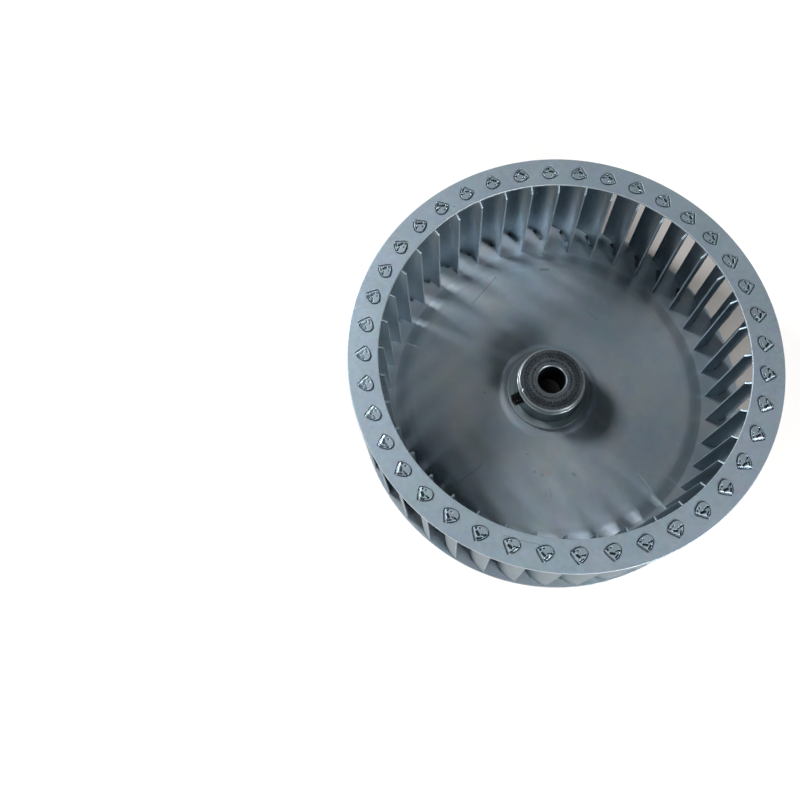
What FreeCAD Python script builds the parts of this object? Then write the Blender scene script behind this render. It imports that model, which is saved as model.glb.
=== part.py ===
"""Burner fan impeller: a forward-curved blower wheel of galvanised sheet steel on a turned steel hub.

Forty blades stand between a pressed back disc and a flat front ring. Each blade has a tab at each end that
goes through a slot and is folded over on the far side. The hub is riveted into the middle of the back disc
and clamps the motor shaft with one socket set screw.

Frame, in millimetres: origin on the shaft axis, in the plane of the tabs folded under the back disc, on
which the wheel stands. +Z points along the axis to the air inlet, and +X along the set screw, outwards.
"""
import FreeCAD
import Part
import math
import os

# Wheel
blade_count = 40
ring_outer_d = 180.0
ring_width = 13.0           # from the ring's opening to its rim
ring_sheet = 1.0
blade_width = 63.5          # clear distance between the back disc and the front ring
first_blade_deg = 0.55      # where the inner edge of blade_01 stands, counter-clockwise from +X

# Blades: strips rolled to an arc, with the hollow face towards the counter-clockwise side
blade_sheet = 0.8
inlet_overhang = 2.1        # the inner edges stand this far inside the ring's opening
outlet_margin = 0.2         # the outer edges stay this far inside the ring's rim
blade_wrap_deg = 7.6        # angle about the shaft from the inner edge to the outer edge
blade_sweep_deg = 95.0      # turn of the sheet from the inner edge to the outer edge
blade_flats = 7             # flats that the blade's round is drawn as
corner_cut_height = 2.8     # the inner corner under the ring is cut off at a slant
corner_cut_length = 4.9

# Tabs on the blades' ends, and the slots that they go through
tab_from_inlet = 9.96       # along the blade, from its inner edge to the middle of the tab
tab_width = 5.6
flap_length = 5.0           # from the fold's outer face to the tip of the folded tab
flap_corner = 1.7           # slanted cuts beside the tip
fold_bevel = 0.45           # outside of the fold
fold_limit = 0.9            # share of the sheet's thickness that the fold's bevel may reach
slot_clearance = 0.15       # round the tab
slot_fold_room = 0.7        # more room on the hollow side, where the tab folds

# Back disc: a flat band that carries the blades, round a raised middle with an embossed hub seat
disc_overhang = 0.8         # the disc's rim stands out this far past the ring's
disc_sheet = 1.2
dish_rise = 1.5
dish_gap = 2.0              # flat band inside the blades' inner edges
dish_width = 5.4            # width of the sloping shoulder
seat_rise = 0.8
seat_margin = 1.9           # flat of the seat past the hub's flange
seat_slope = 2.2

# Hub
bore_d = 12.7
bore_chamfer = 0.75
hub_height = 17.7           # from the seat to the top face
collar_d = 30.2
collar_height = 3.2
body_d = 31.5
flange_d = 38.8
flange_height = 2.2
edge_chamfer = 0.4
spigot_d = 24.0             # goes through the disc
spigot_clearance = 0.1
rivet_d = 28.0              # spigot's end, rolled out under the disc
rivet_height = 1.8
rivet_slope = 0.8

# Set screw
screw_d = 6.0
screw_clearance = 0.05      # radial, between the screw and its hole
screw_length = 10.0
screw_drop = 6.8            # from the hub's top face down to the screw's axis
screw_stands_out = 3.8      # how far it is backed out of the hub
socket_flats = 3.0
socket_depth = 4.0
screw_chamfer = 0.5
cup_d = 3.0                 # hollow of the screw's point
cup_depth = 0.6

# Radii, and heights from the plane that the wheel stands on
rim_r = ring_outer_d / 2
opening_r = rim_r - ring_width
disc_under = blade_sheet
disc_top = disc_under + disc_sheet
ring_under = disc_top + blade_width
ring_top = ring_under + ring_sheet
seat_top = disc_top + dish_rise + seat_rise
seat_under = seat_top - disc_sheet
hub_top = seat_top + hub_height
hub_bottom = seat_under - rivet_height
screw_z = hub_top - screw_drop

UP = FreeCAD.Vector(0, 0, 1)


def at(x, y, z=0.0):
    return FreeCAD.Vector(x, y, z)


def polar(radius, angle, middle=None):
    """Point at a radius and an angle in radians, about the shaft or about another middle."""
    point = at(radius * math.cos(angle), radius * math.sin(angle))
    return point if middle is None else point + middle


def raised(points, z, height):
    """Upright solid over a closed outline of points in the XY plane, from z upwards."""
    face = Part.Face(Part.makePolygon(points + points[:1]))
    face.translate(UP * z)
    return face.extrude(UP * height)


def turned(points):
    """Solid of revolution about the shaft, from a closed outline of (radius, z) points."""
    corners = [at(radius, 0, z) for radius, z in points]
    outline = Part.makePolygon(corners + corners[:1])
    return Part.Face(outline).revolve(at(0, 0), UP, 360)


# The blade's arc, for a blade whose inner edge stands on the +X axis
inlet_r = opening_r - inlet_overhang
outlet_r = rim_r - outlet_margin
inner_edge = polar(inlet_r, 0)
outer_edge = polar(outlet_r, math.radians(blade_wrap_deg))
chord = outer_edge - inner_edge
half_sweep = math.radians(blade_sweep_deg) / 2
arc_r = chord.Length / 2 / math.sin(half_sweep)
chord_angle = math.atan2(chord.y, chord.x)
arc_middle = inner_edge + chord * 0.5 + polar(arc_r * math.cos(half_sweep), chord_angle + math.pi / 2)
arc_start = chord_angle - math.pi / 2 - half_sweep
arc_end = arc_start + 2 * half_sweep

# The tab is flat, and lies halfway between its stretch of the arc and that stretch's chord
tab_angle = arc_start + tab_from_inlet / arc_r
tab_sagitta = arc_r - math.sqrt(arc_r ** 2 - (tab_width / 2) ** 2)
tab_middle = polar(arc_r - tab_sagitta / 2, tab_angle, arc_middle)


def strip():
    """The blade's rolled strip, without tabs."""
    turns = [arc_start + (arc_end - arc_start) * step / blade_flats for step in range(blade_flats + 1)]
    hollow_side = [polar(arc_r - blade_sheet / 2, turn, arc_middle) for turn in turns]
    back_side = [polar(arc_r + blade_sheet / 2, turn, arc_middle) for turn in reversed(turns)]
    return raised(hollow_side + back_side, disc_top, blade_width)


def tab_point(along, inward):
    """Point at the tab, measured from its middle: along the sheet, and towards the hollow side."""
    return tab_middle + polar(along, tab_angle + math.pi / 2) + polar(inward, tab_angle + math.pi)


def tab_block(half_width, back, front, z, height):
    """Upright block at the tab, from its back to its front."""
    corners = [(-half_width, back), (half_width, back), (half_width, front), (-half_width, front)]
    return raised([tab_point(along, inward) for along, inward in corners], z, height)


def corner_cut():
    """Wedge that takes the inner top corner off a blade, with as much again to spare on each side."""
    along = polar(corner_cut_length, arc_start + math.pi / 2)
    across = polar(corner_cut_length, arc_start)
    rise = UP * corner_cut_height
    foot = inner_edge - across + UP * ring_under
    corners = [foot - along - rise * 2, foot + along * 2 + rise, foot - along + rise]
    return Part.Face(Part.makePolygon(corners + corners[:1])).extrude(across * 2)


def folded_tab(foot_z, sheet_z, flap_z):
    """Tab that goes through a sheet from foot_z to sheet_z, and its flap, one blade sheet thick at flap_z."""
    half = tab_width / 2
    back = -blade_sheet / 2
    front = back + flap_length
    stem = tab_block(half, back, blade_sheet / 2, min(foot_z, sheet_z), abs(sheet_z - foot_z))
    corners = [(-half, back), (half, back), (half, front - flap_corner), (half - flap_corner, front),
               (flap_corner - half, front), (-half, front - flap_corner)]
    flap = raised([tab_point(along, inward) for along, inward in corners], flap_z, blade_sheet)
    outer_z = flap_z if flap_z < foot_z else flap_z + blade_sheet
    on_bend = Part.Vertex(tab_point(0, back) + UP * outer_z)
    bend = min(flap.Edges, key=lambda edge: edge.distToShape(on_bend)[0])
    return stem.fuse(flap.makeChamfer(min(fold_bevel, fold_limit * blade_sheet), [bend]))


def make_blade():
    body = strip().cut(corner_cut())
    front_tab = folded_tab(ring_under, ring_top, ring_top)
    back_tab = folded_tab(disc_top, disc_under, disc_under - blade_sheet)
    return body.fuse([front_tab, back_tab]).removeSplitter()


def slots(z, thickness):
    """Slots for all the blades' tabs through a sheet that starts at z."""
    slot = tab_block(tab_width / 2 + slot_clearance, -blade_sheet / 2 - slot_clearance,
                     blade_sheet / 2 + slot_fold_room, z - thickness, 3 * thickness)
    return [placed(slot, index) for index in range(blade_count)]


def placed(shape, index):
    """Copy of a shape at the place of one blade."""
    copy = shape.copy()
    copy.rotate(at(0, 0), UP, first_blade_deg + index * 360 / blade_count)
    return copy


def make_ring():
    plate = Part.makeCylinder(rim_r, ring_sheet, at(0, 0, ring_under))
    opening = Part.makeCylinder(opening_r, ring_sheet, at(0, 0, ring_under))
    return plate.cut(opening).cut(slots(ring_under, ring_sheet))


def make_disc():
    """Pressed disc: flat band, shoulder up to the raised middle, hub seat and centre hole."""
    middle_z = disc_top + dish_rise
    shoulder_r = inlet_r - dish_gap
    seat_r = flange_d / 2 + seat_margin
    top_face = [
        (rim_r + disc_overhang, disc_top),
        (shoulder_r, disc_top),
        (shoulder_r - dish_width, middle_z),
        (seat_r + seat_slope, middle_z),
        (seat_r, seat_top),
        (spigot_d / 2 + spigot_clearance, seat_top),
    ]
    under_face = [(radius, z - disc_sheet) for radius, z in reversed(top_face)]
    return turned(top_face + under_face).cut(slots(disc_under, disc_sheet))


def make_hub():
    bore_r, collar_r, body_r = bore_d / 2, collar_d / 2, body_d / 2
    flange_r, rivet_r = flange_d / 2, rivet_d / 2
    step_z = hub_top - collar_height
    flange_z = seat_top + flange_height
    hub = turned([
        (bore_r + bore_chamfer, hub_top),
        (collar_r - edge_chamfer, hub_top),
        (collar_r, hub_top - edge_chamfer),
        (collar_r, step_z),
        (body_r, step_z),
        (body_r, flange_z),
        (flange_r, flange_z),
        (flange_r, seat_top),
        (spigot_d / 2, seat_top),
        (spigot_d / 2, seat_under),
        (rivet_r, seat_under),
        (rivet_r - rivet_slope, hub_bottom),
        (bore_r, hub_bottom),
        (bore_r, hub_top - bore_chamfer),
    ])
    hole = Part.makeCylinder(screw_d / 2 + screw_clearance, body_d, at(0, 0, screw_z), at(1, 0, 0))
    return hub.cut(hole)


def make_screw():
    """Socket set screw along +X: cup point towards the shaft, hexagon socket outside."""
    outer_x = body_d / 2 + screw_stands_out
    inner_x = outer_x - screw_length
    radius = screw_d / 2
    profile = [(0, inner_x + cup_depth), (cup_d / 2, inner_x + cup_depth), (cup_d / 2, inner_x),
               (radius - screw_chamfer, inner_x), (radius, inner_x + screw_chamfer), (radius, outer_x),
               (0, outer_x)]
    screw = turned(profile)
    screw.rotate(at(0, 0), at(0, 1, 0), 90)
    corner_r = socket_flats / 2 / math.cos(math.pi / 6)
    corners = [at(outer_x, corner_r * math.cos(k * math.pi / 3), corner_r * math.sin(k * math.pi / 3))
               for k in range(7)]
    socket = Part.Face(Part.makePolygon(corners)).extrude(at(-socket_depth, 0, 0))
    screw = screw.cut(socket)
    screw.translate(at(0, 0, screw_z))
    return screw


def save(shape, name):
    shape.exportStep(os.path.join("parts", name + ".step"))


os.makedirs("parts", exist_ok=True)
save(make_disc(), "back_disc")
save(make_ring(), "front_ring")
save(make_hub(), "hub")
save(make_screw(), "set_screw")
blade = make_blade()
for index in range(blade_count):
    save(placed(blade, index), f"blade_{index + 1:02d}")
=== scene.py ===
"""Burner fan impeller: forty rolled blades clinched between a pressed disc and a flat ring, on a turned hub.

The wheel stands on the plane z = 0 with its air inlet up, and +X runs along the hub's set screw.
"""

import bmesh
import bpy
import numpy as np
from mathutils import Matrix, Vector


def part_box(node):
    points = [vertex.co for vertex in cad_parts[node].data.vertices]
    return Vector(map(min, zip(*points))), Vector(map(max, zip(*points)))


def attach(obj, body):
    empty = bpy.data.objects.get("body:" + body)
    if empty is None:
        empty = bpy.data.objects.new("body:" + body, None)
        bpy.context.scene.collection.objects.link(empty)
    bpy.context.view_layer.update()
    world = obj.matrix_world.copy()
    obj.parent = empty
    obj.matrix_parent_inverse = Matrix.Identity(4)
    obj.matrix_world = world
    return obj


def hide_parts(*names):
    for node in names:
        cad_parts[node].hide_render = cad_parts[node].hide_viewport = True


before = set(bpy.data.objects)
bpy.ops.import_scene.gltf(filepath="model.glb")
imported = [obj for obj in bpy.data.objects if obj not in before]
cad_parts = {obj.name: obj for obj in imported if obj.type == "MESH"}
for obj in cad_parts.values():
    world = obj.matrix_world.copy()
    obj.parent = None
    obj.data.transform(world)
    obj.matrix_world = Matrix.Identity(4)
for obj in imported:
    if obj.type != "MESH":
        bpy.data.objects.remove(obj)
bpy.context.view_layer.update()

# Back disc: one pressed blank of galvanised sheet. Its flat band holds the blades' tabs in a circle of
# punched slots, a drawn shoulder lifts the middle, and an embossed seat in the middle carries the hub.

MM = 0.001
disc_low, disc_high = (np.array(corner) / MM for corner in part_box("back_disc"))
disc_rim_r = disc_high[0]
disc_sheet = 1.2
disc_under = disc_low[2]
disc_top = disc_under + disc_sheet
middle_top = disc_top + 1.5         # top of the raised middle
shoulder_foot_r = 72.9
shoulder_width = 5.4
band_in = shoulder_foot_r + 0.7     # where the band's slotted shares begin
seat_r = 21.3                       # flat of the embossed hub seat
seat_slope = 2.2
seat_top = middle_top + 0.8
disc_hole_r = 12.1
cut_edge = 0.18                     # rounding that the punch leaves on a cut edge

blade_count = 40
first_blade = np.radians(0.55)
pitch = 2 * np.pi / blade_count
flap_turn = np.radians(3.02)        # from a blade's inner edge round to the middle of its folded tab
flap_r = 82.94                      # radius of that middle
tab_turn = np.radians(38.2)         # the tab's direction, for a blade whose inner edge is on +X
arc_steps = 16                      # grid steps across one blade's share of the wheel
side_steps = 8

slot_long = 5.9
slot_wide = 1.65
slot_shift = 0.275                  # slots are wider on the hollow side, where the tab folds
bend_to_flap_middle = 2.15
bend_shift = 0.1                    # the bend's middle lies this far along it from the fold's
blade_sheet = 0.8

flap_middle = flap_r * np.array([np.cos(flap_turn), np.sin(flap_turn)])
along_tab = np.array([np.cos(tab_turn), np.sin(tab_turn)])
into_hollow = np.array([-np.sin(tab_turn), np.cos(tab_turn)])
bend_middle = flap_middle - into_hollow * bend_to_flap_middle + along_tab * bend_shift
slot_middle = bend_middle + into_hollow * (blade_sheet / 2 + slot_shift)


def rotated(points, angle):
    """Points turned about the shaft: x and y by the usual rotation, height and wear as they are."""
    x, y = points[..., 0], points[..., 1]
    turned = [x * np.cos(angle) - y * np.sin(angle), x * np.sin(angle) + y * np.cos(angle)]
    return np.concatenate([np.stack(turned, axis=-1), points[..., 2:]], axis=-1)


def at_height(outline, z, painted_light_and_wear=0.0):
    """A flat outline of (x, y) points raised to a height, with its mark beside it, painted light and worn
    metal in one number: from -1 for painted shade in a corner, crease or slot to 1 for worn, exposed metal
    with a painted highlight on an edge. Both may differ from point to point."""
    more = [np.broadcast_to(value, outline.shape[:-1])[..., None] for value in (z, painted_light_and_wear)]
    return np.concatenate([outline, *more], axis=-1)


def share_outline(inner_r, outer_r, inset=0.0):
    """Border of one blade's share of a round sheet: the inner arc, a radial side, the outer arc and the
    other side, each in equal steps, and the same radii on both sides so that neighbours join. An inset
    draws all four in by that many millimetres."""
    half_turn = pitch / 2 - inset / outer_r
    turns = flap_turn + half_turn * np.linspace(-1, 1, arc_steps + 1)
    radii = np.linspace(inner_r + inset, outer_r - inset, side_steps + 1)
    arcs = [(np.full(arc_steps, radii[0]), turns[:-1]), (radii[:-1], np.full(side_steps, turns[-1])),
            (np.full(arc_steps, radii[-1]), turns[:0:-1]), (radii[:0:-1], np.full(side_steps, turns[0]))]
    radius, turn = (np.concatenate(parts) for parts in zip(*arcs))
    return np.stack([radius * np.cos(turn), radius * np.sin(turn)], axis=-1)


def slot_outline(directions, margin):
    """Edge of a slot seen from its middle: along each direction, the nearer of the two pairs of sides of a
    rectangle turned with the tab, moved out by a margin. The points nearest its corners are put on them."""
    half = np.array([slot_long / 2 + margin, slot_wide / 2 + margin])
    local = np.stack([directions @ along_tab, directions @ into_hollow], axis=-1)
    reach = np.min(half / np.maximum(np.abs(local), 1e-9), axis=-1)
    local = local * reach[:, None]
    for corner in half * np.array([(1, 1), (-1, 1), (-1, -1), (1, -1)]):
        local[np.argmin(np.linalg.norm(local - corner, axis=-1))] = corner
    return slot_middle + local[:, :1] * along_tab + local[:, 1:] * into_hollow


# Corners of a folded tab, and the round that the punch leaves, measured along the bend and away from it.
bend_overhang = 0.15                # the fold's outside stands out this far past the bend's middle line
flap_edge = np.array([(-2.65, -bend_overhang), (2.05, -bend_overhang), (2.3, 1.7), (1.8, 3.5), (-2.75, 2.3),
                      (-2.85, 0.9)])
flap_round_middle = (-0.25, 3.0)
flap_round_r = 2.12


def flap_outline(directions, margin=0.0):
    """Edge of a folded tab seen from its middle: along each direction, the furthest reach of the convex
    shape that wraps the bend's corners and the punch's round, moved out by a margin. The margin is wider
    along the bend."""
    middle = (-bend_shift, bend_to_flap_middle)
    turns = np.linspace(0, 2 * np.pi, 48, endpoint=False)
    circle = np.stack([np.cos(turns), np.sin(turns)], axis=-1) * flap_round_r + flap_round_middle
    corners = np.concatenate([flap_edge, circle]) - middle
    local = np.stack([directions @ along_tab, directions @ into_hollow], axis=-1)
    normal_turns = np.linspace(0, 2 * np.pi, 721)
    normals = np.stack([np.cos(normal_turns), np.sin(normal_turns)], axis=-1)
    wider_at_bend, least_facing = 0.8, 0.02
    widening = 1 + wider_at_bend * np.clip(-normals[:, 1], 0, 1)
    support = np.max(corners @ normals.T, axis=0) + margin * widening
    facing = local @ normals.T
    reach = np.where(facing > least_facing, support / np.maximum(facing, least_facing), np.inf)
    return flap_middle + directions * np.min(reach, axis=-1)[:, None]


def slotted_share(inner_r, outer_r, z_under, z_top, flap_side):
    """One blade's share of a slotted sheet, as a closed grid: from its border inwards over the top, down
    through the slot, and out again underneath. The side with the folded tab has the shallow moat that the
    closing punch presses round it, painted dark in its bottom as shade, and on the other side a painted shade
    lies round the slot and down into it. The rows of the moat, of the slot's rounded edge and of its edge
    under the fold are margins, depths and marks of painted light and worn metal."""
    border_inset, grime_reach, moat_depth, slot_depth = 0.3, 0.6, 0.24, 0.4
    border = share_outline(inner_r, outer_r)
    directions = border - flap_middle
    directions /= np.linalg.norm(directions, axis=-1, keepdims=True)
    grime_share = np.where(directions @ into_hollow < -0.6, 1.0, 0.66)      # more of it lies along the bend
    moat = [(0.9, 0.0, 0.0), (0.5, 0.0, 0.0), (0.4, moat_depth / 2, -0.7), (0.2, moat_depth, -1.0),
            (0.03, moat_depth, -1.0)]
    rounding = [(cut_edge, 0.0, -0.7), (0.3 * cut_edge, 0.3 * cut_edge, -0.8), (0.0, cut_edge, -1.0),
                (0.0, slot_depth, -1.0)]
    hidden = [(0.02, 0.3, -1.0), (0.0, slot_depth, -1.0)]
    rows = []
    for side, face_z in ((1, z_top), (-1, z_under)):
        half = [at_height(border, face_z),
                at_height(share_outline(inner_r, outer_r, border_inset), face_z)]
        if side == flap_side:
            half += [at_height(flap_outline(directions, margin), face_z - side * depth, painted_light_and_wear * grime_share)
                     for margin, depth, painted_light_and_wear in moat]
        else:
            half += [at_height(border + (slot_outline(directions, grime_reach) - border) * part, face_z, painted_light_and_wear)
                     for part, painted_light_and_wear in ((0.5, 0.0), (0.8, 0.0), (1.0, -0.25))]
        half += [at_height(slot_outline(directions, margin), face_z - side * depth, painted_light_and_wear)
                 for margin, depth, painted_light_and_wear in (hidden if side == flap_side else rounding)]
        rows += half if side == 1 else half[::-1]
    return np.stack(rows)


def all_round(share):
    """The same share repeated for every blade, each turned by one more pitch."""
    return [rotated(share, first_blade + pitch * index) for index in range(blade_count)]


def lathe(profile, turns):
    """Surface of revolution about the shaft: each (radius, z) point of the profile carried round the turns,
    and with it the point's mark of painted light and worn metal where the profile gives one."""
    radius, z, *painted_light_and_wear = np.array(profile, dtype=float).T[..., None] + 0 * turns
    return np.stack([radius * np.cos(turns), radius * np.sin(turns), z, painted_light_and_wear[0] if painted_light_and_wear else 0 * z], axis=-1)


def build(name, grids, material, crease_deg=32.0):
    """One object from grids of points, in millimetres. A grid is a (rows, columns, 4) array of places and
    marks of painted light and worn metal, closed along its columns, or a pair of that array and False when it
    is open. Points that meet are joined, the faces are turned outwards, and edges sharper than the crease
    angle stay sharp."""
    points, faces, count = [], [], 0
    weld_distance, least_edge = 2e-6, 1e-6      # metres
    for grid in grids:
        grid, closed = grid if isinstance(grid, tuple) else (grid, True)
        rows, columns = grid.shape[:2]
        steps = columns if closed else columns - 1
        row, column = np.meshgrid(np.arange(rows - 1), np.arange(steps), indexing="ij")
        after = (column + 1) % columns
        corners = [row * columns + column, row * columns + after,
                   (row + 1) * columns + after, (row + 1) * columns + column]
        faces.append(count + np.stack(corners, axis=-1).reshape(-1, 4))
        points.append(grid.reshape(-1, 4))
        count += rows * columns
    points = np.concatenate(points)
    mesh = bpy.data.meshes.new(name)
    mesh.from_pydata(points[:, :3] * MM, [], np.concatenate(faces).tolist())
    mesh.attributes.new("painted_light_and_wear", "FLOAT", "POINT").data.foreach_set("value", points[:, 3].astype(np.float32))
    joined = bmesh.new()
    joined.from_mesh(mesh)
    bmesh.ops.remove_doubles(joined, verts=joined.verts, dist=weld_distance)
    bmesh.ops.dissolve_degenerate(joined, edges=joined.edges, dist=least_edge)
    bmesh.ops.recalc_face_normals(joined, faces=joined.faces)
    joined.to_mesh(mesh)
    joined.free()
    mesh.shade_smooth()
    mesh.set_sharp_from_angle(angle=np.radians(crease_deg))
    mesh.materials.append(material)
    piece = bpy.data.objects.new(name, mesh)
    bpy.context.scene.collection.objects.link(piece)
    return piece


def linear(hex_colour):
    """Linear RGBA of an sRGB hex colour."""
    channels = np.array([int(hex_colour[place:place + 2], 16) for place in (1, 3, 5)]) / 255
    curve = np.where(channels <= 0.04045, channels / 12.92, ((channels + 0.055) / 1.055) ** 2.4)
    return (*curve, 1.0)


def add(tree, kind, inputs=None, **settings):
    """A new node with its settings. Each input, by its name or number, is a value, or another node's output
    to link from. On a Map Range, 1 to 4 are the ends of its two ranges. On a Mix, 0 is the second one's
    share, of the values 2 and 3 or of the colours 6 and 7."""
    new = tree.nodes.new(kind)
    for name, value in settings.items():
        setattr(new, name, value)
    for name, value in (inputs or {}).items():
        if isinstance(value, bpy.types.NodeSocket):
            tree.links.new(value, new.inputs[name])
        else:
            new.inputs[name].default_value = value
    return new


def empty_tree(owner):
    """The node tree of a new material or world, with nothing in it."""
    owner.use_nodes = True
    owner.node_tree.nodes.clear()
    return owner.node_tree


def per_mm(size):
    """Texture scale at which one cell of a pattern measures so many millimetres."""
    return 1 / (size * MM)


def galvanised_sheet(name, shades, roughness, metallic, marks=()):
    """Hot-dip galvanised steel sheet, skin-passed to a satin grey-blue between two shades. It mirrors softly,
    and its zinc grain varies the roughness finely. Sheared edges and struck places are paler and duller:
    worn, exposed metal, and in part a painted highlight. Corners, creases, moats and slots are darker and
    duller: a painted shade. Handling leaves faint stains, and marks on the upper side. A mark is a line or a
    spot: two ends, half its width, its colour and how much it covers."""
    stain, tint, grain_size, spangle_size = 28, 14, 1.1, 3.5        # widths in millimetres
    grain_height, scratch_height, scratch_below = 0.0012, 0.04, 0.5
    material = bpy.data.materials.new(name)
    tree = empty_tree(material)
    sheet = add(tree, "ShaderNodeTexCoord")
    place = sheet.outputs["Object"]
    upward = add(tree, "ShaderNodeSeparateXYZ", {0: sheet.outputs["Normal"]}).outputs["Z"]
    upper = add(tree, "ShaderNodeMapRange", {0: upward, 2: 0.2}).outputs[0]
    painted_light_and_wear = add(tree, "ShaderNodeAttribute", attribute_name="painted_light_and_wear").outputs["Fac"]
    bare_and_highlight = add(tree, "ShaderNodeMapRange", {0: painted_light_and_wear, 2: 1.0, 4: 0.8}).outputs[0]
    grime = add(tree, "ShaderNodeMapRange", {0: painted_light_and_wear, 2: -1.0, 4: 0.94}).outputs[0]
    stains = add(tree, "ShaderNodeTexNoise", {"Vector": place, "Scale": per_mm(stain), "Detail": 4.0})
    tints = add(tree, "ShaderNodeTexNoise", {"Vector": place, "Scale": per_mm(tint), "Detail": 1.0})
    grain = add(tree, "ShaderNodeTexNoise", {"Vector": place, "Scale": per_mm(grain_size), "Detail": 5.0})
    spangle = add(tree, "ShaderNodeTexVoronoi", {"Vector": place, "Scale": per_mm(spangle_size)})
    tone = add(tree, "ShaderNodeMapRange", {0: stains.outputs["Fac"], 1: 0.3, 2: 0.7})
    colour = add(tree, "ShaderNodeMix", {0: tone.outputs[0], 6: linear(shades[0]), 7: linear(shades[1])},
                 data_type="RGBA").outputs[2]
    for share, pattern in ((0.04, tints), (0.035, spangle)):
        colour = add(tree, "ShaderNodeMix", {0: share, 6: colour, 7: pattern.outputs["Color"]},
                     data_type="RGBA", blend_type="OVERLAY").outputs[2]
    height = add(tree, "ShaderNodeMapRange", {0: grain.outputs["Fac"], 3: 0.0, 4: grain_height}).outputs[0]
    for start, end, half_width, shade, cover in marks:
        middle = (np.array(start) + end) / 2 * MM
        run = np.subtract(end, start) * MM
        half_run = (np.hypot(*run) / 2, 0.0, 0.0)
        moved = add(tree, "ShaderNodeVectorMath", {0: place, 1: (*middle, 0.0)}, operation="SUBTRACT")
        laid = add(tree, "ShaderNodeVectorRotate",
                   {"Vector": moved.outputs[0], "Angle": -np.arctan2(run[1], run[0])}, rotation_type="Z_AXIS")
        folded = add(tree, "ShaderNodeVectorMath", {0: laid.outputs[0]}, operation="ABSOLUTE")
        past_end = add(tree, "ShaderNodeVectorMath", {0: folded.outputs[0], 1: half_run},
                       operation="SUBTRACT")
        outside = add(tree, "ShaderNodeVectorMath", {0: past_end.outputs[0]}, operation="MAXIMUM")
        flat = add(tree, "ShaderNodeVectorMath", {0: outside.outputs[0], 1: (1.0, 1.0, 0.0)},
                   operation="MULTIPLY")
        away = add(tree, "ShaderNodeVectorMath", {0: flat.outputs[0]}, operation="LENGTH").outputs["Value"]
        near = add(tree, "ShaderNodeMapRange", {0: away, 1: half_width * MM, 2: 0.0, 4: cover},
                   interpolation_type="SMOOTHSTEP").outputs[0]
        on_mark = add(tree, "ShaderNodeMath", {0: near, 1: upper}, operation="MULTIPLY").outputs[0]
        colour = add(tree, "ShaderNodeMix", {0: on_mark, 6: colour, 7: linear(shade)},
                     data_type="RGBA").outputs[2]
        if half_width < scratch_below:
            height = add(tree, "ShaderNodeMath", {0: on_mark, 1: -scratch_height, 2: height},
                         operation="MULTIPLY_ADD").outputs[0]
    # Pale metal on edges and struck places, in part a painted highlight, then a near-black painted shade in
    # corners, creases and slots.
    for share, shade in ((bare_and_highlight, "#CBD3D8"), (grime, "#14191D")):
        colour = add(tree, "ShaderNodeMix", {0: share, 6: colour, 7: linear(shade)},
                     data_type="RGBA").outputs[2]
    satin = add(tree, "ShaderNodeMapRange", {0: grain.outputs["Fac"], 1: 0.3, 2: 0.7, 3: roughness - 0.05,
                                             4: roughness + 0.05}).outputs[0]
    struck = add(tree, "ShaderNodeMapRange", {0: painted_light_and_wear, 2: 0.1}).outputs[0]
    worn = add(tree, "ShaderNodeMix", {0: struck, 2: satin, 3: 0.48}).outputs[0]
    dulled = add(tree, "ShaderNodeMix", {0: grime, 2: worn, 3: 0.9}).outputs[0]
    bump = add(tree, "ShaderNodeBump", {"Height": height, "Strength": 1.0, "Distance": MM})
    shader = add(tree, "ShaderNodeBsdfPrincipled", {"Base Color": colour, "Metallic": metallic,
                                                    "Roughness": dulled, "Normal": bump.outputs[0]})
    add(tree, "ShaderNodeOutputMaterial", {"Surface": shader.outputs[0]})
    return material


disc_marks = [
    ((12.9, -56.0), (-4.0, -63.9), 0.24, "#3E484F", 0.8), ((56.9, 21.8), (44.2, 19.0), 0.24, "#3E484F", 0.6),
    ((-19.4, 52.5), (-23.3, 72.6), 0.3, "#C9D2D8", 0.8),
    ((-35.9, -29.0), (-39.1, -21.6), 0.3, "#566068", 0.5),
    ((-26.2, -57.8), (-29.4, -56.3), 1.3, "#4A545A", 0.45), ((23.3, 32.2), (23.4, 32.4), 0.9, "#4A4F52", 0.5),
    ((21.6, 35.0), (20.9, 35.3), 1.0, "#55585A", 0.4), ((19.6, 33.4), (18.0, 35.2), 3.4, "#9C8F8C", 0.4),
    ((23.0, 23.3), (23.1, 23.4), 0.8, "#50565A", 0.45), ((7.9, 40.5), (7.2, 41.6), 0.9, "#50565A", 0.45),
    ((27.7, -11.9), (27.8, -12.0), 0.8, "#464C50", 0.5), ((22.7, 42.0), (24.1, 44.8), 0.35, "#5B656C", 0.4),
    ((20.8, 42.3), (22.1, 45.8), 0.35, "#5B656C", 0.4)]
disc_turns = first_blade + flap_turn + pitch * (np.arange(blade_count * arc_steps) / arc_steps - 0.5)


def sheet_rim(radius, z_under, z_top, outward):
    """Profile of a cut edge, from the top face over a rounding, down the exposed wall and under. The rounding
    and the wall are painted pale: worn metal, and in part a painted highlight. Outward is 1 on a rim and -1
    round an opening."""
    turns = np.linspace(0, np.pi / 2, 4)
    edge_r = radius + outward * cut_edge * (np.sin(turns) - 1)
    painted_light_and_wear = np.array([0.0, 0.6, 1.0, 1.0])
    over = np.stack([edge_r, z_top + cut_edge * (np.cos(turns) - 1), painted_light_and_wear], axis=-1)
    under = over[::-1] * (1, -1, 1) + (0, z_top + z_under, 0)
    return np.concatenate([over, under])


def corner_round(corner, before, after, radius, steps=4):
    """Profile of a rounded corner: a curve that leaves one side and meets the other at the same distance from
    the corner, blended with squared weights."""
    corner, before, after = (np.array(point, dtype=float) for point in (corner, before, after))
    start = corner + (before - corner) / np.linalg.norm(before - corner) * radius
    end = corner + (after - corner) / np.linalg.norm(after - corner) * radius
    share = np.linspace(0, 1, steps)[:, None]
    return start * (1 - share) ** 2 + corner * 2 * share * (1 - share) + end * share ** 2


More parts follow.
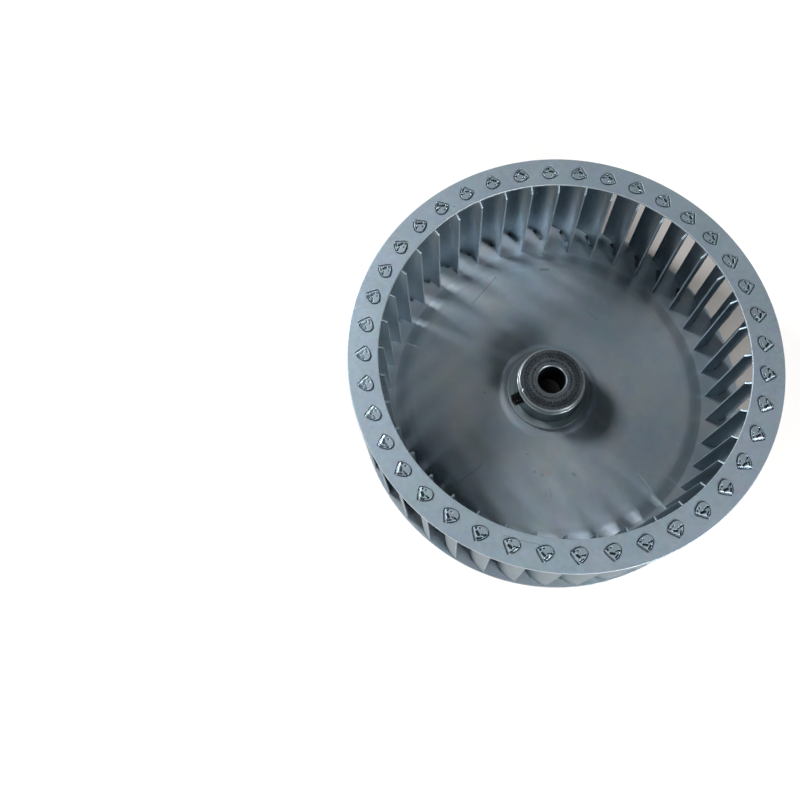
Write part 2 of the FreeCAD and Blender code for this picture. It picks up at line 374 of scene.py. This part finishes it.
def rounded_profile(corners):
    """Open profile of (radius, z, mark) points through corners of (radius, z, rounding, mark), a mark being
    painted light and worn metal in one number. Each corner is rounded, and the two ends are left as they are."""
    points = [(*corners[0][:2], corners[0][3])]
    for before, here, after in zip(corners, corners[1:], corners[2:]):
        steps = 4 if here[2] < 0.8 else 8       # a wide rounding gets more of them
        curve = corner_round(here[:2], before[:2], after[:2], here[2], steps) if here[2] else [here[:2]]
        points += [(*point, here[3]) for point in curve]
    return np.array(points + [(*corners[-1][:2], corners[-1][3])])


# Corners of the disc's face: radius, height, rounding and a mark of painted light and worn metal. The marks
# below 0 on the drawn shoulder paint shade on its slope.
disc_face = rounded_profile([
    (band_in, disc_top, 0, 0), (shoulder_foot_r, disc_top, 0.35, -0.14),
    (shoulder_foot_r - shoulder_width / 2, (disc_top + middle_top) / 2, 0, -0.22),
    (shoulder_foot_r - shoulder_width, middle_top, 1.2, -0.16), (64.5, middle_top, 0, 0),
    (40, middle_top, 0, 0), (seat_r + seat_slope, middle_top, 1.0, 0), (seat_r, seat_top, 1.0, 0),
    (disc_hole_r + 1.0, seat_top, 0, 0), (disc_hole_r + cut_edge, seat_top, 0, 0)])
hole_edge = sheet_rim(disc_hole_r, seat_top - disc_sheet, seat_top, -1)
disc_profile = np.concatenate([disc_face[:-1], hole_edge, disc_face[-2::-1] - (0, disc_sheet, 0)])
disc_share = slotted_share(band_in, disc_rim_r - cut_edge, disc_under, disc_top, -1)
disc = build("back_disc_sheet", [
    *all_round(disc_share),
    lathe(disc_profile, disc_turns),
    lathe(sheet_rim(disc_rim_r, disc_under, disc_top, 1), disc_turns),
], galvanised_sheet("galvanised sheet, handled", ("#8D9EAC", "#A3ACB2"), 0.48, 0.7, disc_marks))
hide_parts("back_disc")
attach(disc, "wheel")

# Front ring: a flat ring punched from the same galvanised sheet, with the same circle of slots. The blades'
# folded tabs hold it.

ring_low, ring_high = (np.array(corner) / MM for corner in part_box("front_ring"))
ring_rim_r = ring_high[0]
ring_opening_r = 77.0
ring_under, ring_top = ring_low[2], ring_high[2]
ring_marks = [
    ((56.1, 57.2), (51.8, 61.2), 0.25, "#5F6A72", 0.6), ((51.8, 61.2), (45.1, 66.2), 0.25, "#5F6A72", 0.6),
    ((12.6, -79.2), (12.8, -79.3), 0.6, "#4A545C", 0.6)]
ring = build("front_ring_sheet", [
    *all_round(slotted_share(ring_opening_r + cut_edge, ring_rim_r - cut_edge, ring_under, ring_top, 1)),
    lathe(sheet_rim(ring_rim_r, ring_under, ring_top, 1), disc_turns),
    lathe(sheet_rim(ring_opening_r, ring_under, ring_top, -1), disc_turns),
], galvanised_sheet("galvanised sheet", ("#90A0AC", "#97A7B3"), 0.48, 0.7, ring_marks))
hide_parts("front_ring")
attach(ring, "wheel")

# Blades: strips of thinner galvanised sheet, rolled to an arc. Each has a tab at both ends that goes through
# a slot and is folded over and punched flat, and a slanted cut at the inner corner under the ring.

inlet_r, outlet_r = 74.9, 89.8
wrap = np.radians(7.6)
sweep = np.radians(95.0)
corner_cut_length, corner_cut_height = 4.9, 2.8
tab_from_inlet, tab_width = 9.96, 5.6
tab_lap = 0.3                       # the tab's stem runs on this far past both faces of the sheet
blade_edge = 0.13                   # rounding of the sheared edges
flap_thick = 0.8

inner_edge = np.array([inlet_r, 0.0])
outer_edge = outlet_r * np.array([np.cos(wrap), np.sin(wrap)])
chord = outer_edge - inner_edge
chord_turn = np.arctan2(chord[1], chord[0])
arc_r = np.linalg.norm(chord) / 2 / np.sin(sweep / 2)
arc_middle = (inner_edge + outer_edge) / 2 + arc_r * np.cos(sweep / 2) * np.array(
    [-np.sin(chord_turn), np.cos(chord_turn)])
arc_start = chord_turn - np.pi / 2 - sweep / 2
arc_length = arc_r * sweep


def rolled_strip(start, end, half_thick, low, high, bends, cut=False):
    """Closed shell of a length of the rolled strip. Columns go round its section: along the hollow side and
    back along the outside, which is a little darker and duller, with rounded sheared edges that are painted
    pale, partly worn metal and partly a painted highlight. Rows go up it, and the first and last ones draw in
    over the bottom and top edges; the rows at the foot are painted dark as shade. With the cut, the top
    follows the slant of the inner corner."""
    # Marks below 0 paint shade at the foot and make the outside darker, and marks above 0 paint the edges
    # pale, in part as a highlight.
    darker_foot_and_outside, rubbed_and_sheen = -0.3, 0.3
    turns = np.linspace(0, np.pi / 2, 4)
    draws = blade_edge * (1 - np.cos(turns))
    lifts = blade_edge * (1 - np.sin(turns))
    steps = np.unique(np.concatenate([start + draws, np.linspace(start, end, bends)[1:-1], end - draws,
                                      [corner_cut_length] if cut else []]))
    inset = blade_edge - np.minimum(np.minimum(steps - start, end - steps), blade_edge)
    drawn_in = blade_edge - np.sqrt(np.maximum(blade_edge ** 2 - inset ** 2, 0))
    along = np.concatenate([steps, steps[::-1]])
    side = np.concatenate([-np.ones_like(steps), np.ones_like(steps)])
    reach = half_thick - np.concatenate([drawn_in, drawn_in[::-1]])
    by_edge = np.concatenate([inset, inset[::-1]]) > 0.3 * blade_edge
    sheared = np.where(by_edge, rubbed_and_sheen, np.where(side > 0, darker_foot_and_outside, 0.0))
    slanted = (along < corner_cut_length) * 1.0 if cut else 0.0
    top = high - slanted * corner_cut_height * (1 - along / corner_cut_length)
    rows = [(low + lift, draw, darker_foot_and_outside) for lift, draw in list(zip(lifts, draws))[:0:-1]]
    for level in (0.0, 0.008, 0.016, 0.1, 0.3, 0.5, 0.7, 0.85, 0.97, 1.0):
        rows.append((low + blade_edge + (top - low - 2 * blade_edge) * level, 0.0,
                     np.where(level < 0.01, darker_foot_and_outside, sheared)))
    top_light_and_wear = np.maximum(sheared, 0.1 * slanted)
    rows += [(top - lift, draw, top_light_and_wear) for lift, draw in zip(lifts[1:], draws[1:])]
    shell = []
    for z, draw, painted_light_and_wear in rows:
        turn = arc_start + np.clip(along, start + draw, end - draw) / arc_r
        radius = arc_r + side * (reach - draw)
        outline = arc_middle + radius[:, None] * np.stack([np.cos(turn), np.sin(turn)], -1)
        shell.append(at_height(outline, z, painted_light_and_wear))
    shell = np.stack(shell)
    half = len(steps)
    caps = [(np.stack([row[:half], row[:half - 1:-1]]), False) for row in (shell[0], shell[-1])]
    return [shell, *caps]


# Creases of a fold: start and end, measured like its corners, then half width and depth.
creases = [((-0.8, 0.85), (0.45, 1.42), 0.48, 0.55), ((1.73, 0.5), (1.67, 2.0), 0.3, 0.58),
           ((1.67, 2.0), (1.3, 3.7), 0.12, 0.25), ((0.4, 2.45), (1.15, 3.8), 0.22, 0.4),
           ((1.05, 3.6), (1.2, 3.9), 0.34, 0.4), ((-2.4, 0.9), (-2.3, 0.95), 0.38, 0.5),
           ((-2.0, 2.1), (-1.75, 2.6), 0.24, 0.3)]
crease_side = 0.24                  # width of a crease's steep side
bend_slope = 0.55                   # width of the bend's flattened outside
bend_drop = 0.24
punched_down = 0.06                 # the punch leaves the fold this much thinner than the strip
tilt_spread = 0.012


def folded_flap(z_sheet, upward, seed, strike, around=84, rings=20):
    """Closed shell of a folded tab: rings from its middle out to its edge over the creased outside, down the
    edge and back in underneath. Each crease is a trench with steep sides along its line, as deep as the punch
    struck, and painted dark along it as shade. The punch leaves the rest flat, and the bend slopes off to a
    round; both are painted a little paler, partly as a highlight. The edge is a quarter circle, wider at the
    bend and at one end, and its foot underneath is painted dark as shade."""
    draw = np.random.default_rng(seed)
    turns = np.linspace(0, 2 * np.pi, around, endpoint=False)
    directions = np.stack([np.cos(turns), np.sin(turns)], axis=-1)
    edge = flap_outline(directions)
    shares = np.concatenate([np.linspace(0, 0.86, rings - 4), [0.9, 0.94, 0.965, 0.985, 1.0]])
    flat = flap_middle + (edge - flap_middle) * shares[:, None, None]
    to_bend = flat - bend_middle
    local = np.stack([to_bend @ along_tab, to_bend @ into_hollow], axis=-1)
    along, out = local[..., 0], local[..., 1]
    tilt_along, tilt_out = draw.normal(0, tilt_spread, 2)
    height = flap_thick - punched_down + tilt_along * along + tilt_out * (out - flap_round_middle[1])
    height = np.minimum(height, flap_thick)
    grime = np.zeros_like(height)
    for start, end, half_width, depth in creases:
        start, end = (np.array(point) + draw.normal(0, 0.1, 2) for point in (start, end))
        half_width = half_width * draw.uniform(0.8, 1.15)
        run = end - start
        nearest = np.clip(((local - start) @ run) / (run @ run), 0, 1)
        away = np.linalg.norm(local - start - nearest[..., None] * run, axis=-1)
        trench = np.clip((half_width + crease_side / 2 - away) / crease_side, 0, 1)
        trench = strike * trench ** 2 * (3 - 2 * trench)
        height -= depth * draw.uniform(0.75, 1.15) * trench
        grime = np.maximum(grime, trench)
    bend = np.clip((bend_slope - bend_overhang - out) / bend_slope, 0, 1)
    height -= bend_drop * bend
    at_bend, at_end = out[-1] < 0.15, along[-1] > 1.2
    rounding = np.where(at_bend, 0.2, 0.12) + np.where(at_end, 0.18, 0.0)
    inside = (1 - shares[:, None]) * np.linalg.norm(edge - flap_middle, axis=-1)
    short = np.clip(rounding - inside, 0, None)
    height -= rounding - np.sqrt(np.maximum(rounding ** 2 - short ** 2, 0))
    # Paler on the flat and more so on the bend, partly as a painted highlight, and painted shade in the
    # creases.
    rubbed_and_sheen = 0.2 + 0.1 * (bend > 0)
    painted_light_and_wear = rubbed_and_sheen - 1.2 * grime - 0.1 * grime * (bend > 0)
    under = [(1.0, 0.02, -1.0), (0.95, 0.01, -1.0), (0.5, 0.01, 0.0), (0.0, 0.01, 0.0)]
    rows = [at_height(row, z_sheet + upward * level, mark) for row, level, mark in zip(flat, height, painted_light_and_wear)]
    rows += [at_height(flap_middle + (edge - flap_middle) * part, z_sheet + upward * level, mark)
             for part, level, mark in under]
    return np.stack(rows)


# The blades' strip is darker and bluer than the ring's sheet: painted shade, for where they stand in the
# wheel's shadow.
shaded_blade_material = galvanised_sheet("galvanised strip", ("#80939F", "#8C9FAA"), 0.32, 0.8)
tab_start = tab_from_inlet - tab_width / 2
tab_end = tab_from_inlet + tab_width / 2
stem_half = blade_sheet / 2 - 0.03      # the stems lie just inside the strip's two faces
light_blow, light_spread = 37.5, 2.8    # where the closing punch struck lighter, and how wide, in blades
for index in range(blade_count):
    grids = rolled_strip(0.0, arc_length, blade_sheet / 2, disc_top, ring_under, 27, cut=True)
    grids += rolled_strip(tab_start, tab_end, stem_half, disc_under - tab_lap, disc_top + tab_lap, 7)
    grids += rolled_strip(tab_start, tab_end, stem_half, ring_under - tab_lap, ring_top + tab_lap, 7)
    from_light = (index - light_blow + blade_count / 2) % blade_count - blade_count / 2
    strike = 1 - 0.5 * np.exp(-(from_light / light_spread) ** 2)
    grids += [folded_flap(ring_top, 1, 100 + index, strike),
              folded_flap(disc_under, -1, 300 + index, 1.0, 60, 14)]
    turned = []
    for grid in grids:
        grid, closed = grid if isinstance(grid, tuple) else (grid, True)
        turned.append((rotated(grid, first_blade + pitch * index), closed))
    blade = build(f"blade_{index + 1:02d}_sheet", turned, shaded_blade_material, crease_deg=38.0)
    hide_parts(f"blade_{index + 1:02d}")
    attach(blade, "wheel")

# Hub: turned from steel bar and zinc plated, with a radial hole for the set screw. Its spigot goes through
# the disc and is rolled out underneath like a rivet.

hub_low, hub_high = (np.array(corner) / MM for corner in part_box("hub"))
hub_bottom, hub_top = hub_low[2], hub_high[2]
bore_r = 6.35
collar_r, body_r, flange_r, spigot_r, rivet_r = 15.1, 15.75, 19.4, 12.0, 14.0
step_z = hub_top - 3.2
flange_z = seat_top + 2.2
hole_r = 3.05
hole_z = hub_top - 6.8
hub_columns = 360
hole_columns = 60                   # columns of the grid that the hole's patch spans
hole_rows = 14
bore_patch = 3.9                    # the patch in the bore reaches this far above and below the hole
mouth_bevel = 0.3

# The hub's columns start at one side of the hole's patch, and the patch takes the last ones.
hub_turns = np.linspace(0, 2 * np.pi, hub_columns, endpoint=False) + np.pi * hole_columns / hub_columns
patch_low, patch_high = flange_z + 0.6, step_z - 0.5
bore_low, bore_high = hole_z - bore_patch, hole_z + bore_patch
# Corners of the hub's profiles: radius, height, rounding and a mark of painted light and worn metal. Above 0
# the edges and chamfers are painted pale, in part as a highlight; below 0 the corners by the body, the
# flange, the seat and the spigot take a painted shade, and the top has a dark band from 11.9 to 13.2 mm.
outside = rounded_profile([
    (bore_r, bore_high, 0, 0), (bore_r, hub_top - 0.6, 0.1, 0.3), (bore_r + 0.6, hub_top, 0.1, 0.2),
    (bore_r + 1.1, hub_top, 0, 0), (9.5, hub_top, 0, 0), (11.5, hub_top, 0, 0), (11.9, hub_top, 0, -0.45),
    (13.2, hub_top, 0, -0.45), (13.6, hub_top, 0, 0), (collar_r - 0.6, hub_top, 0, 0.1),
    (collar_r - 0.3, hub_top, 0.1, 0.8), (collar_r, hub_top - 0.3, 0.1, 0.8), (collar_r, hub_top - 0.6, 0, 0),
    (collar_r, step_z + 0.5, 0, -0.1), (collar_r, step_z, 0.1, 0), (body_r - 0.25, step_z, 0.1, 0.9),
    (body_r, step_z - 0.25, 0.1, 0.9), (body_r, patch_high, 0, 0)])
lower_outside = rounded_profile([
    (body_r, patch_low, 0, 0), (body_r, flange_z, 0.35, -0.6), (body_r + 0.8, flange_z, 0, 0),
    (flange_r - 0.5, flange_z, 0, 0), (flange_r, flange_z, 0.3, 0.5), (flange_r, seat_top + 0.5, 0, 0),
    (flange_r, seat_top, 0.12, -1), (spigot_r, seat_top, 0, -1), (spigot_r, seat_top - disc_sheet, 0, -1),
    (rivet_r, seat_top - disc_sheet, 0.15, -1), (rivet_r, hub_bottom + 0.7, 0.4, 0),
    (rivet_r - 1.4, hub_bottom, 0.7, 0), (bore_r + 0.25, hub_bottom, 0.1, 0),
    (bore_r, hub_bottom + 0.25, 0.1, 0), (bore_r, bore_low, 0, 0)])


def hole_patch(radius, z_low, z_high, mouth):
    """Part of a cylinder round the set screw's hole: rows go from the patch's border to the hole's edge.
    Both are lifted on to the cylinder, x being the height of the circle over the chord."""
    turns = np.pi * hole_columns / hub_columns * np.linspace(-1, 1, hole_columns + 1)
    heights = np.linspace(z_low, z_high, hole_rows + 1)
    border = np.concatenate([
        np.stack([turns[:-1], np.full(hole_columns, z_low)], -1),
        np.stack([np.full(hole_rows, turns[-1]), heights[:-1]], -1),
        np.stack([turns[:0:-1], np.full(hole_columns, z_high)], -1),
        np.stack([np.full(hole_rows, turns[0]), heights[:0:-1]], -1)])
    spread = border * (radius, 1) - (0, hole_z)
    spread /= np.linalg.norm(spread, axis=-1, keepdims=True)
    rim = spread * mouth
    rim = np.stack([np.arcsin(rim[:, 0] / radius), rim[:, 1] + hole_z], -1)
    shares = np.linspace(0, 1, 7)[:, None, None] ** 0.8       # rows lie closer together by the hole
    points = border + (rim - border) * shares
    return at_height(radius * np.stack([np.cos(points[..., 0]), np.sin(points[..., 0])], -1), points[..., 1])


outer_patch = hole_patch(body_r, patch_low, patch_high, hole_r + mouth_bevel)
inner_patch = hole_patch(bore_r, bore_low, bore_high, hole_r)

# The hole's wall: straight lines from the bevel to the edge in the bore, moved out on to the hole's radius.
throat = outer_patch[-1] - (mouth_bevel, 0, 0, 0)
hole_wall = throat + (inner_patch[-1] - throat) * np.linspace(0, 1, 9)[:, None, None]
around_hole = hole_wall[..., 1:3] - (0, hole_z)
around_hole *= hole_r / np.linalg.norm(around_hole, axis=-1, keepdims=True)
hole_wall[..., 1:3] = around_hole + (0, hole_z)
hole_wall = np.concatenate([outer_patch[-1:], hole_wall])
rest_of_turn = hub_turns[:hub_columns - hole_columns + 1]
patch_heights = np.linspace(patch_low, patch_high, hole_rows + 1)
bore_heights = np.linspace(bore_low, bore_high, hole_rows + 1)

nick_turn = np.radians(-6.2)
nick_width, nick_depth, nick_push = 0.45, 0.18, 0.02      # the push inwards is a share of the radius


def nicked(grid):
    """Presses a small dent into the top edge: points sink and draw in by a bell curve of their distance."""
    middle = (collar_r - 0.3) * np.array([np.cos(nick_turn), np.sin(nick_turn)])
    away = np.linalg.norm(grid[..., :2] - middle, axis=-1)
    near_top = grid[..., 2] > hub_top - 1.2
    depth = np.exp(-(away / nick_width) ** 2) * near_top
    dented = grid.copy()
    dented[..., :2] *= 1 - nick_push * depth[..., None]
    dented[..., 2] -= nick_depth * depth
    return dented


def zinc_plated_steel():
    """Turned steel, zinc plated. The flat top is dull, with the fine rings of the facing tool, the flange and
    the collar are paler than the body, the edges are painted pale, worn bright and in part as a highlight,
    the corners take a painted shade, and the bore is painted dark as shade. The rings are drawn 0.6 mm apart,
    coarser than the real ones, so that they show."""
    ring_width, grit_width, blot_width = 0.6, 0.45, 5
    material = bpy.data.materials.new("zinc plated turned steel")
    tree = empty_tree(material)
    place = add(tree, "ShaderNodeTexCoord").outputs["Object"]
    painted_light_and_wear = add(tree, "ShaderNodeAttribute", attribute_name="painted_light_and_wear").outputs["Fac"]
    height = add(tree, "ShaderNodeSeparateXYZ", {0: place}).outputs["Z"]
    flat = add(tree, "ShaderNodeVectorMath", {0: place, 1: (1.0, 1.0, 0.0)}, operation="MULTIPLY")
    radius = add(tree, "ShaderNodeVectorMath", {0: flat.outputs[0]}, operation="LENGTH").outputs["Value"]
    outline = add(tree, "ShaderNodeCombineXYZ", {"X": radius, "Y": height})
    rings = add(tree, "ShaderNodeTexNoise", {"Vector": outline.outputs[0], "Scale": per_mm(ring_width),
                                             "Detail": 3.0})
    grit = add(tree, "ShaderNodeTexNoise", {"Vector": place, "Scale": per_mm(grit_width), "Detail": 3.0})
    blots = add(tree, "ShaderNodeTexNoise", {"Vector": place, "Scale": per_mm(blot_width), "Detail": 3.0})
    turned = add(tree, "ShaderNodeMix", {0: 0.55, 2: rings.outputs["Fac"], 3: grit.outputs["Fac"]}).outputs[0]
    turned = add(tree, "ShaderNodeMix", {0: 0.12, 2: turned, 3: blots.outputs["Fac"]}).outputs[0]
    speckle = add(tree, "ShaderNodeMapRange", {0: turned, 1: 0.43, 2: 0.57}).outputs[0]
    areas = [(height, hub_top - 0.1, hub_top - 0.02), (height, step_z - 0.1, step_z + 0.1),
             (height, flange_z + 0.5, flange_z + 0.1), (radius, bore_r + 0.2, bore_r + 0.05)]
    on_top, on_collar, on_flange, bore_shade = (
        add(tree, "ShaderNodeMapRange", {0: measure, 1: start * MM, 2: full * MM}).outputs[0]
        for measure, start, full in areas)
    bare_and_highlight = add(tree, "ShaderNodeMapRange", {0: painted_light_and_wear, 2: 1.0, 4: 0.9}).outputs[0]
    grime = add(tree, "ShaderNodeMapRange", {0: painted_light_and_wear, 2: -1.0, 4: 0.9}).outputs[0]
    top, colour = (
        add(tree, "ShaderNodeMix", {0: speckle, 6: linear(dark), 7: linear(pale)},
            data_type="RGBA").outputs[2]
        for dark, pale in (("#1C2226", "#6E777F"), ("#566970", "#6A7E86")))
    # The collar and flange paler, the speckled top, then pale edges that are in part a painted highlight,
    # painted shade in the corners, and the bore painted dark as shade.
    for share, paint in ((on_collar, linear("#A3B1B8")), (on_flange, linear("#92A1A6")), (on_top, top),
                         (bare_and_highlight, linear("#D3DADD")), (grime, linear("#14191D")), (bore_shade, linear("#26323B"))):
        colour = add(tree, "ShaderNodeMix", {0: share, 6: colour, 7: paint}, data_type="RGBA").outputs[2]
    roughness = add(tree, "ShaderNodeMapRange", {0: turned, 1: 0.3, 2: 0.7, 3: 0.26, 4: 0.4}).outputs[0]
    for share, dullness in ((on_top, 0.45), (on_flange, 0.5), (bare_and_highlight, 0.3)):
        roughness = add(tree, "ShaderNodeMix", {0: share, 2: roughness, 3: dullness}).outputs[0]
    deep = add(tree, "ShaderNodeMix", {0: on_top, 2: 0.004, 3: 0.05}).outputs[0]
    shallow = add(tree, "ShaderNodeMix", {0: bare_and_highlight, 2: deep, 3: 0.0}).outputs[0]
    relief = add(tree, "ShaderNodeMath", {0: turned, 1: shallow}, operation="MULTIPLY")
    bump = add(tree, "ShaderNodeBump", {"Height": relief.outputs[0], "Strength": 1.0, "Distance": MM})
    shader = add(tree, "ShaderNodeBsdfPrincipled", {"Base Color": colour, "Metallic": 0.9,
                                                    "Roughness": roughness, "Normal": bump.outputs[0]})
    add(tree, "ShaderNodeOutputMaterial", {"Surface": shader.outputs[0]})
    return material


def upright(radius, heights):
    """Part of a cylinder beside a hole's patch: the rest of the turn, at the patch's own heights."""
    return (lathe([(radius, z) for z in heights], rest_of_turn), False)


hub = build("hub_turned", [
    nicked(lathe(outside, hub_turns)), lathe(lower_outside, hub_turns), upright(body_r, patch_heights),
    upright(bore_r, bore_heights), outer_patch, inner_patch, hole_wall,
], zinc_plated_steel())
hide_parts("hub")
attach(hub, "wheel")

# Set screw: a headless socket screw in black oxide, turned out of the hub as far as the photograph shows.
# A rolled thread runs its whole length, with a hexagon socket outside and a cup point inside.

screw_low, screw_high = (np.array(corner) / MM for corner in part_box("set_screw"))
screw_inner, screw_outer = screw_low[0], screw_high[0]
screw_r = 3.0
thread_pitch = 1.0
thread_depth = 0.55
flank_slope, crest_share = 2.6, 0.15
end_cone = 0.7                      # the cones at both ends start this far inside the thread's crest
socket_r = 1.5 / np.cos(np.pi / 6)
socket_depth = 4.0
screw_columns = 60
screw_turns = np.linspace(0, 2 * np.pi, screw_columns, endpoint=False)


def threaded(x):
    """Radius of the thread at a distance along the screw: a V that winds once round per pitch, with a flat
    crest and root, cut down by the cones at the two ends."""
    phase = (x[:, None] / thread_pitch - screw_turns / (2 * np.pi)) % 1
    wave = np.clip(np.abs(phase - 0.5) * flank_slope - crest_share, 0, 1)
    ends = np.minimum(x - screw_inner, screw_outer - x)[:, None]
    return np.minimum(screw_r - thread_depth * wave, screw_r - end_cone + ends)


# Rows of the screw: from the middle of the socket's end out to its rim, along the thread, and in over the cup
# point. Each is a place along the screw and a radius.
hexagon = socket_r * np.cos(np.pi / 6) / np.cos((screw_turns + np.pi / 6) % (np.pi / 3) - np.pi / 6)
thread_x = np.linspace(screw_outer, screw_inner, 121)
screw_rows = [(screw_outer - socket_depth - 0.5, 0 * hexagon), (screw_outer - socket_depth, hexagon * 0.9),
              (screw_outer - socket_depth + 0.1, hexagon), (screw_outer - 0.15, hexagon),
              (screw_outer, hexagon + 0.18)]
screw_rows += list(zip(thread_x, threaded(thread_x)))
screw_rows += [(screw_inner, 0 * hexagon + 1.5), (screw_inner + 0.6, 0 * hexagon + 0.4),
               (screw_inner + 0.6, 0 * hexagon)]
screw_grid = np.stack([at_height(np.stack([x + 0 * radius, radius * np.cos(screw_turns)], axis=-1),
                                 hole_z + radius * np.sin(screw_turns)) for x, radius in screw_rows])


def black_oxide_steel():
    """Alloy steel with a black oxide film: nearly black and dull, a little grainy."""
    material = bpy.data.materials.new("black oxide steel")
    tree = empty_tree(material)
    place = add(tree, "ShaderNodeTexCoord").outputs["Object"]
    grit_width = 0.5
    noise = add(tree, "ShaderNodeTexNoise", {"Vector": place, "Scale": per_mm(grit_width), "Detail": 3.0})
    grit = noise.outputs["Fac"]
    colour = add(tree, "ShaderNodeMix", {0: grit, 6: linear("#010102"), 7: linear("#050506")},
                 data_type="RGBA")
    roughness = add(tree, "ShaderNodeMapRange", {0: grit, 3: 0.24, 4: 0.4})
    bump = add(tree, "ShaderNodeBump", {"Height": grit, "Strength": 0.4, "Distance": 0.02 * MM})
    shader = add(tree, "ShaderNodeBsdfPrincipled", {
        "Base Color": colour.outputs[2], "Specular IOR Level": 0.2, "Roughness": roughness.outputs[0],
        "Normal": bump.outputs[0]})
    add(tree, "ShaderNodeOutputMaterial", {"Surface": shader.outputs[0]})
    return material


screw = build("set_screw_threaded", [screw_grid], black_oxide_steel())
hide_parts("set_screw")
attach(screw, "set_screw")

# Studio: a plain pale floor, a soft lamp behind the wheel on the left, another in front of it on the right,
# three weak ones round it, and a dim surrounding.

floor_size = 6.0
floor_corners = np.array([(-1, -1, 0), (1, -1, 0), (1, 1, 0), (-1, 1, 0)]) * floor_size / 2
floor_mesh = bpy.data.meshes.new("floor")
floor_mesh.from_pydata(floor_corners, [], [(0, 1, 2, 3)])
floor = bpy.data.objects.new("floor", floor_mesh)
bpy.context.scene.collection.objects.link(floor)

# Background paper, matt and even. Near the wheel it takes the shadows, and there it does not glow, so that
# this patch is darker: a painted shadow. From the wheel's rim outwards it glows plain white, a painted light
# for the eye and the metal's reflections, and more so where the lamps fade.
shadow_middle = (-0.012, -0.013, 0.0)
shadow_end, white_start, white_glow = 0.097, 0.103, 0.7
lamps_fade, lamps_end, far_glow = 0.3, 0.9, 0.3
paper = bpy.data.materials.new("white paper")
tree = empty_tree(paper)
ground = add(tree, "ShaderNodeTexCoord").outputs["Object"]
shifted = add(tree, "ShaderNodeVectorMath", {0: ground, 1: shadow_middle}, operation="SUBTRACT")
away = add(tree, "ShaderNodeVectorMath", {0: shifted.outputs[0]}, operation="LENGTH").outputs["Value"]
clear = add(tree, "ShaderNodeMapRange", {0: away, 1: shadow_end, 2: white_start, 4: white_glow})
far = add(tree, "ShaderNodeMapRange", {0: away, 1: lamps_fade, 2: lamps_end, 4: far_glow})
even = add(tree, "ShaderNodeMath", {0: clear.outputs[0], 1: far.outputs[0]}, operation="ADD")
ray = add(tree, "ShaderNodeLightPath").outputs
seen = add(tree, "ShaderNodeMath", {0: ray["Is Camera Ray"], 1: ray["Is Glossy Ray"]}, operation="ADD")
seen = add(tree, "ShaderNodeMath", {0: seen.outputs[0], 1: ray["Is Transmission Ray"]}, operation="ADD")
white = add(tree, "ShaderNodeMath", {0: seen.outputs[0], 1: even.outputs[0]}, operation="MULTIPLY")
matt = add(tree, "ShaderNodeBsdfDiffuse", {"Color": linear("#9B9895")})
glow = add(tree, "ShaderNodeEmission", {"Color": linear("#FFFFFF"), "Strength": white.outputs[0]})
whole = add(tree, "ShaderNodeAddShader", {0: matt.outputs[0], 1: glow.outputs[0]})
add(tree, "ShaderNodeOutputMaterial", {"Surface": whole.outputs[0]})
floor_mesh.materials.append(paper)

# The surrounding is a little lighter along the horizon than overhead, and plain white where it is seen.
horizon_light, overhead_light = 0.05, 0.012
world = bpy.data.worlds.new("studio")
bpy.context.scene.world = world
tree = empty_tree(world)
seen = add(tree, "ShaderNodeLightPath").outputs["Is Camera Ray"]
direction = add(tree, "ShaderNodeTexCoord").outputs["Generated"]
upward = add(tree, "ShaderNodeSeparateXYZ", {0: direction}).outputs["Z"]
surround = add(tree, "ShaderNodeMapRange", {0: upward, 1: 0.0, 2: 0.8, 3: horizon_light, 4: overhead_light},
               interpolation_type="SMOOTHSTEP")
strength = add(tree, "ShaderNodeMapRange", {0: seen, 3: surround.outputs[0], 4: 1.0})
sky = add(tree, "ShaderNodeBackground", {"Color": linear("#FFFFFF"), "Strength": strength.outputs[0]})
add(tree, "ShaderNodeOutputWorld", {"Surface": sky.outputs[0]})

# Square area lamps that face the wheel's middle: azimuth and elevation in degrees, size in metres, and watts.
lamp_distance = 1.0
for name, azimuth, elevation, size, watts in (
        ("main_lamp", 303.8, 41.5, 0.22, 10.2), ("front_lamp", 103.0, 36.0, 0.3, 11.6),
        ("side_lamp", 17.8, 32.0, 0.12, 1.4), ("top_lamp", 4.8, 62.0, 0.3, 0.5),
        ("back_lamp", 216.8, 34.0, 0.3, 0.6)):
    light = bpy.data.lights.new(name, "AREA")
    light.size = size
    light.energy = watts
    lamp = bpy.data.objects.new(name, light)
    bpy.context.scene.collection.objects.link(lamp)
    azimuth, elevation = np.radians([azimuth, elevation])
    level = lamp_distance * np.cos(elevation)
    lamp.location = (level * np.cos(azimuth), level * np.sin(azimuth), lamp_distance * np.sin(elevation))
    lamp.rotation_euler = (np.pi / 2 - elevation, 0, azimuth + np.pi / 2)

# Camera: the photograph's angle, with its whole frame of 800 by 800 pixels, of which the wheel takes the
# right-hand side.

camera_place = np.array([92.891, 85.815, 415.573]) * MM
camera_right = (-0.90953, 0.41434, -0.03300)
camera_up = (-0.39874, -0.84737, 0.35067)
camera_back = (0.11733, 0.33210, 0.93592)
camera_data = bpy.data.cameras.new("camera")
camera_data.sensor_width = 36.0
camera_data.lens = 39.76
camera_data.shift_x = -0.0221
camera_data.shift_y = -0.1021
camera_data.clip_start = 0.01
camera = bpy.data.objects.new("camera", camera_data)
bpy.context.scene.collection.objects.link(camera)
placement = np.eye(4)
placement[:3] = np.stack([camera_right, camera_up, camera_back, camera_place], axis=-1)
camera.matrix_world = Matrix(placement.tolist())
bpy.context.scene.camera = camera
bpy.context.scene.view_settings.view_transform = "Standard"
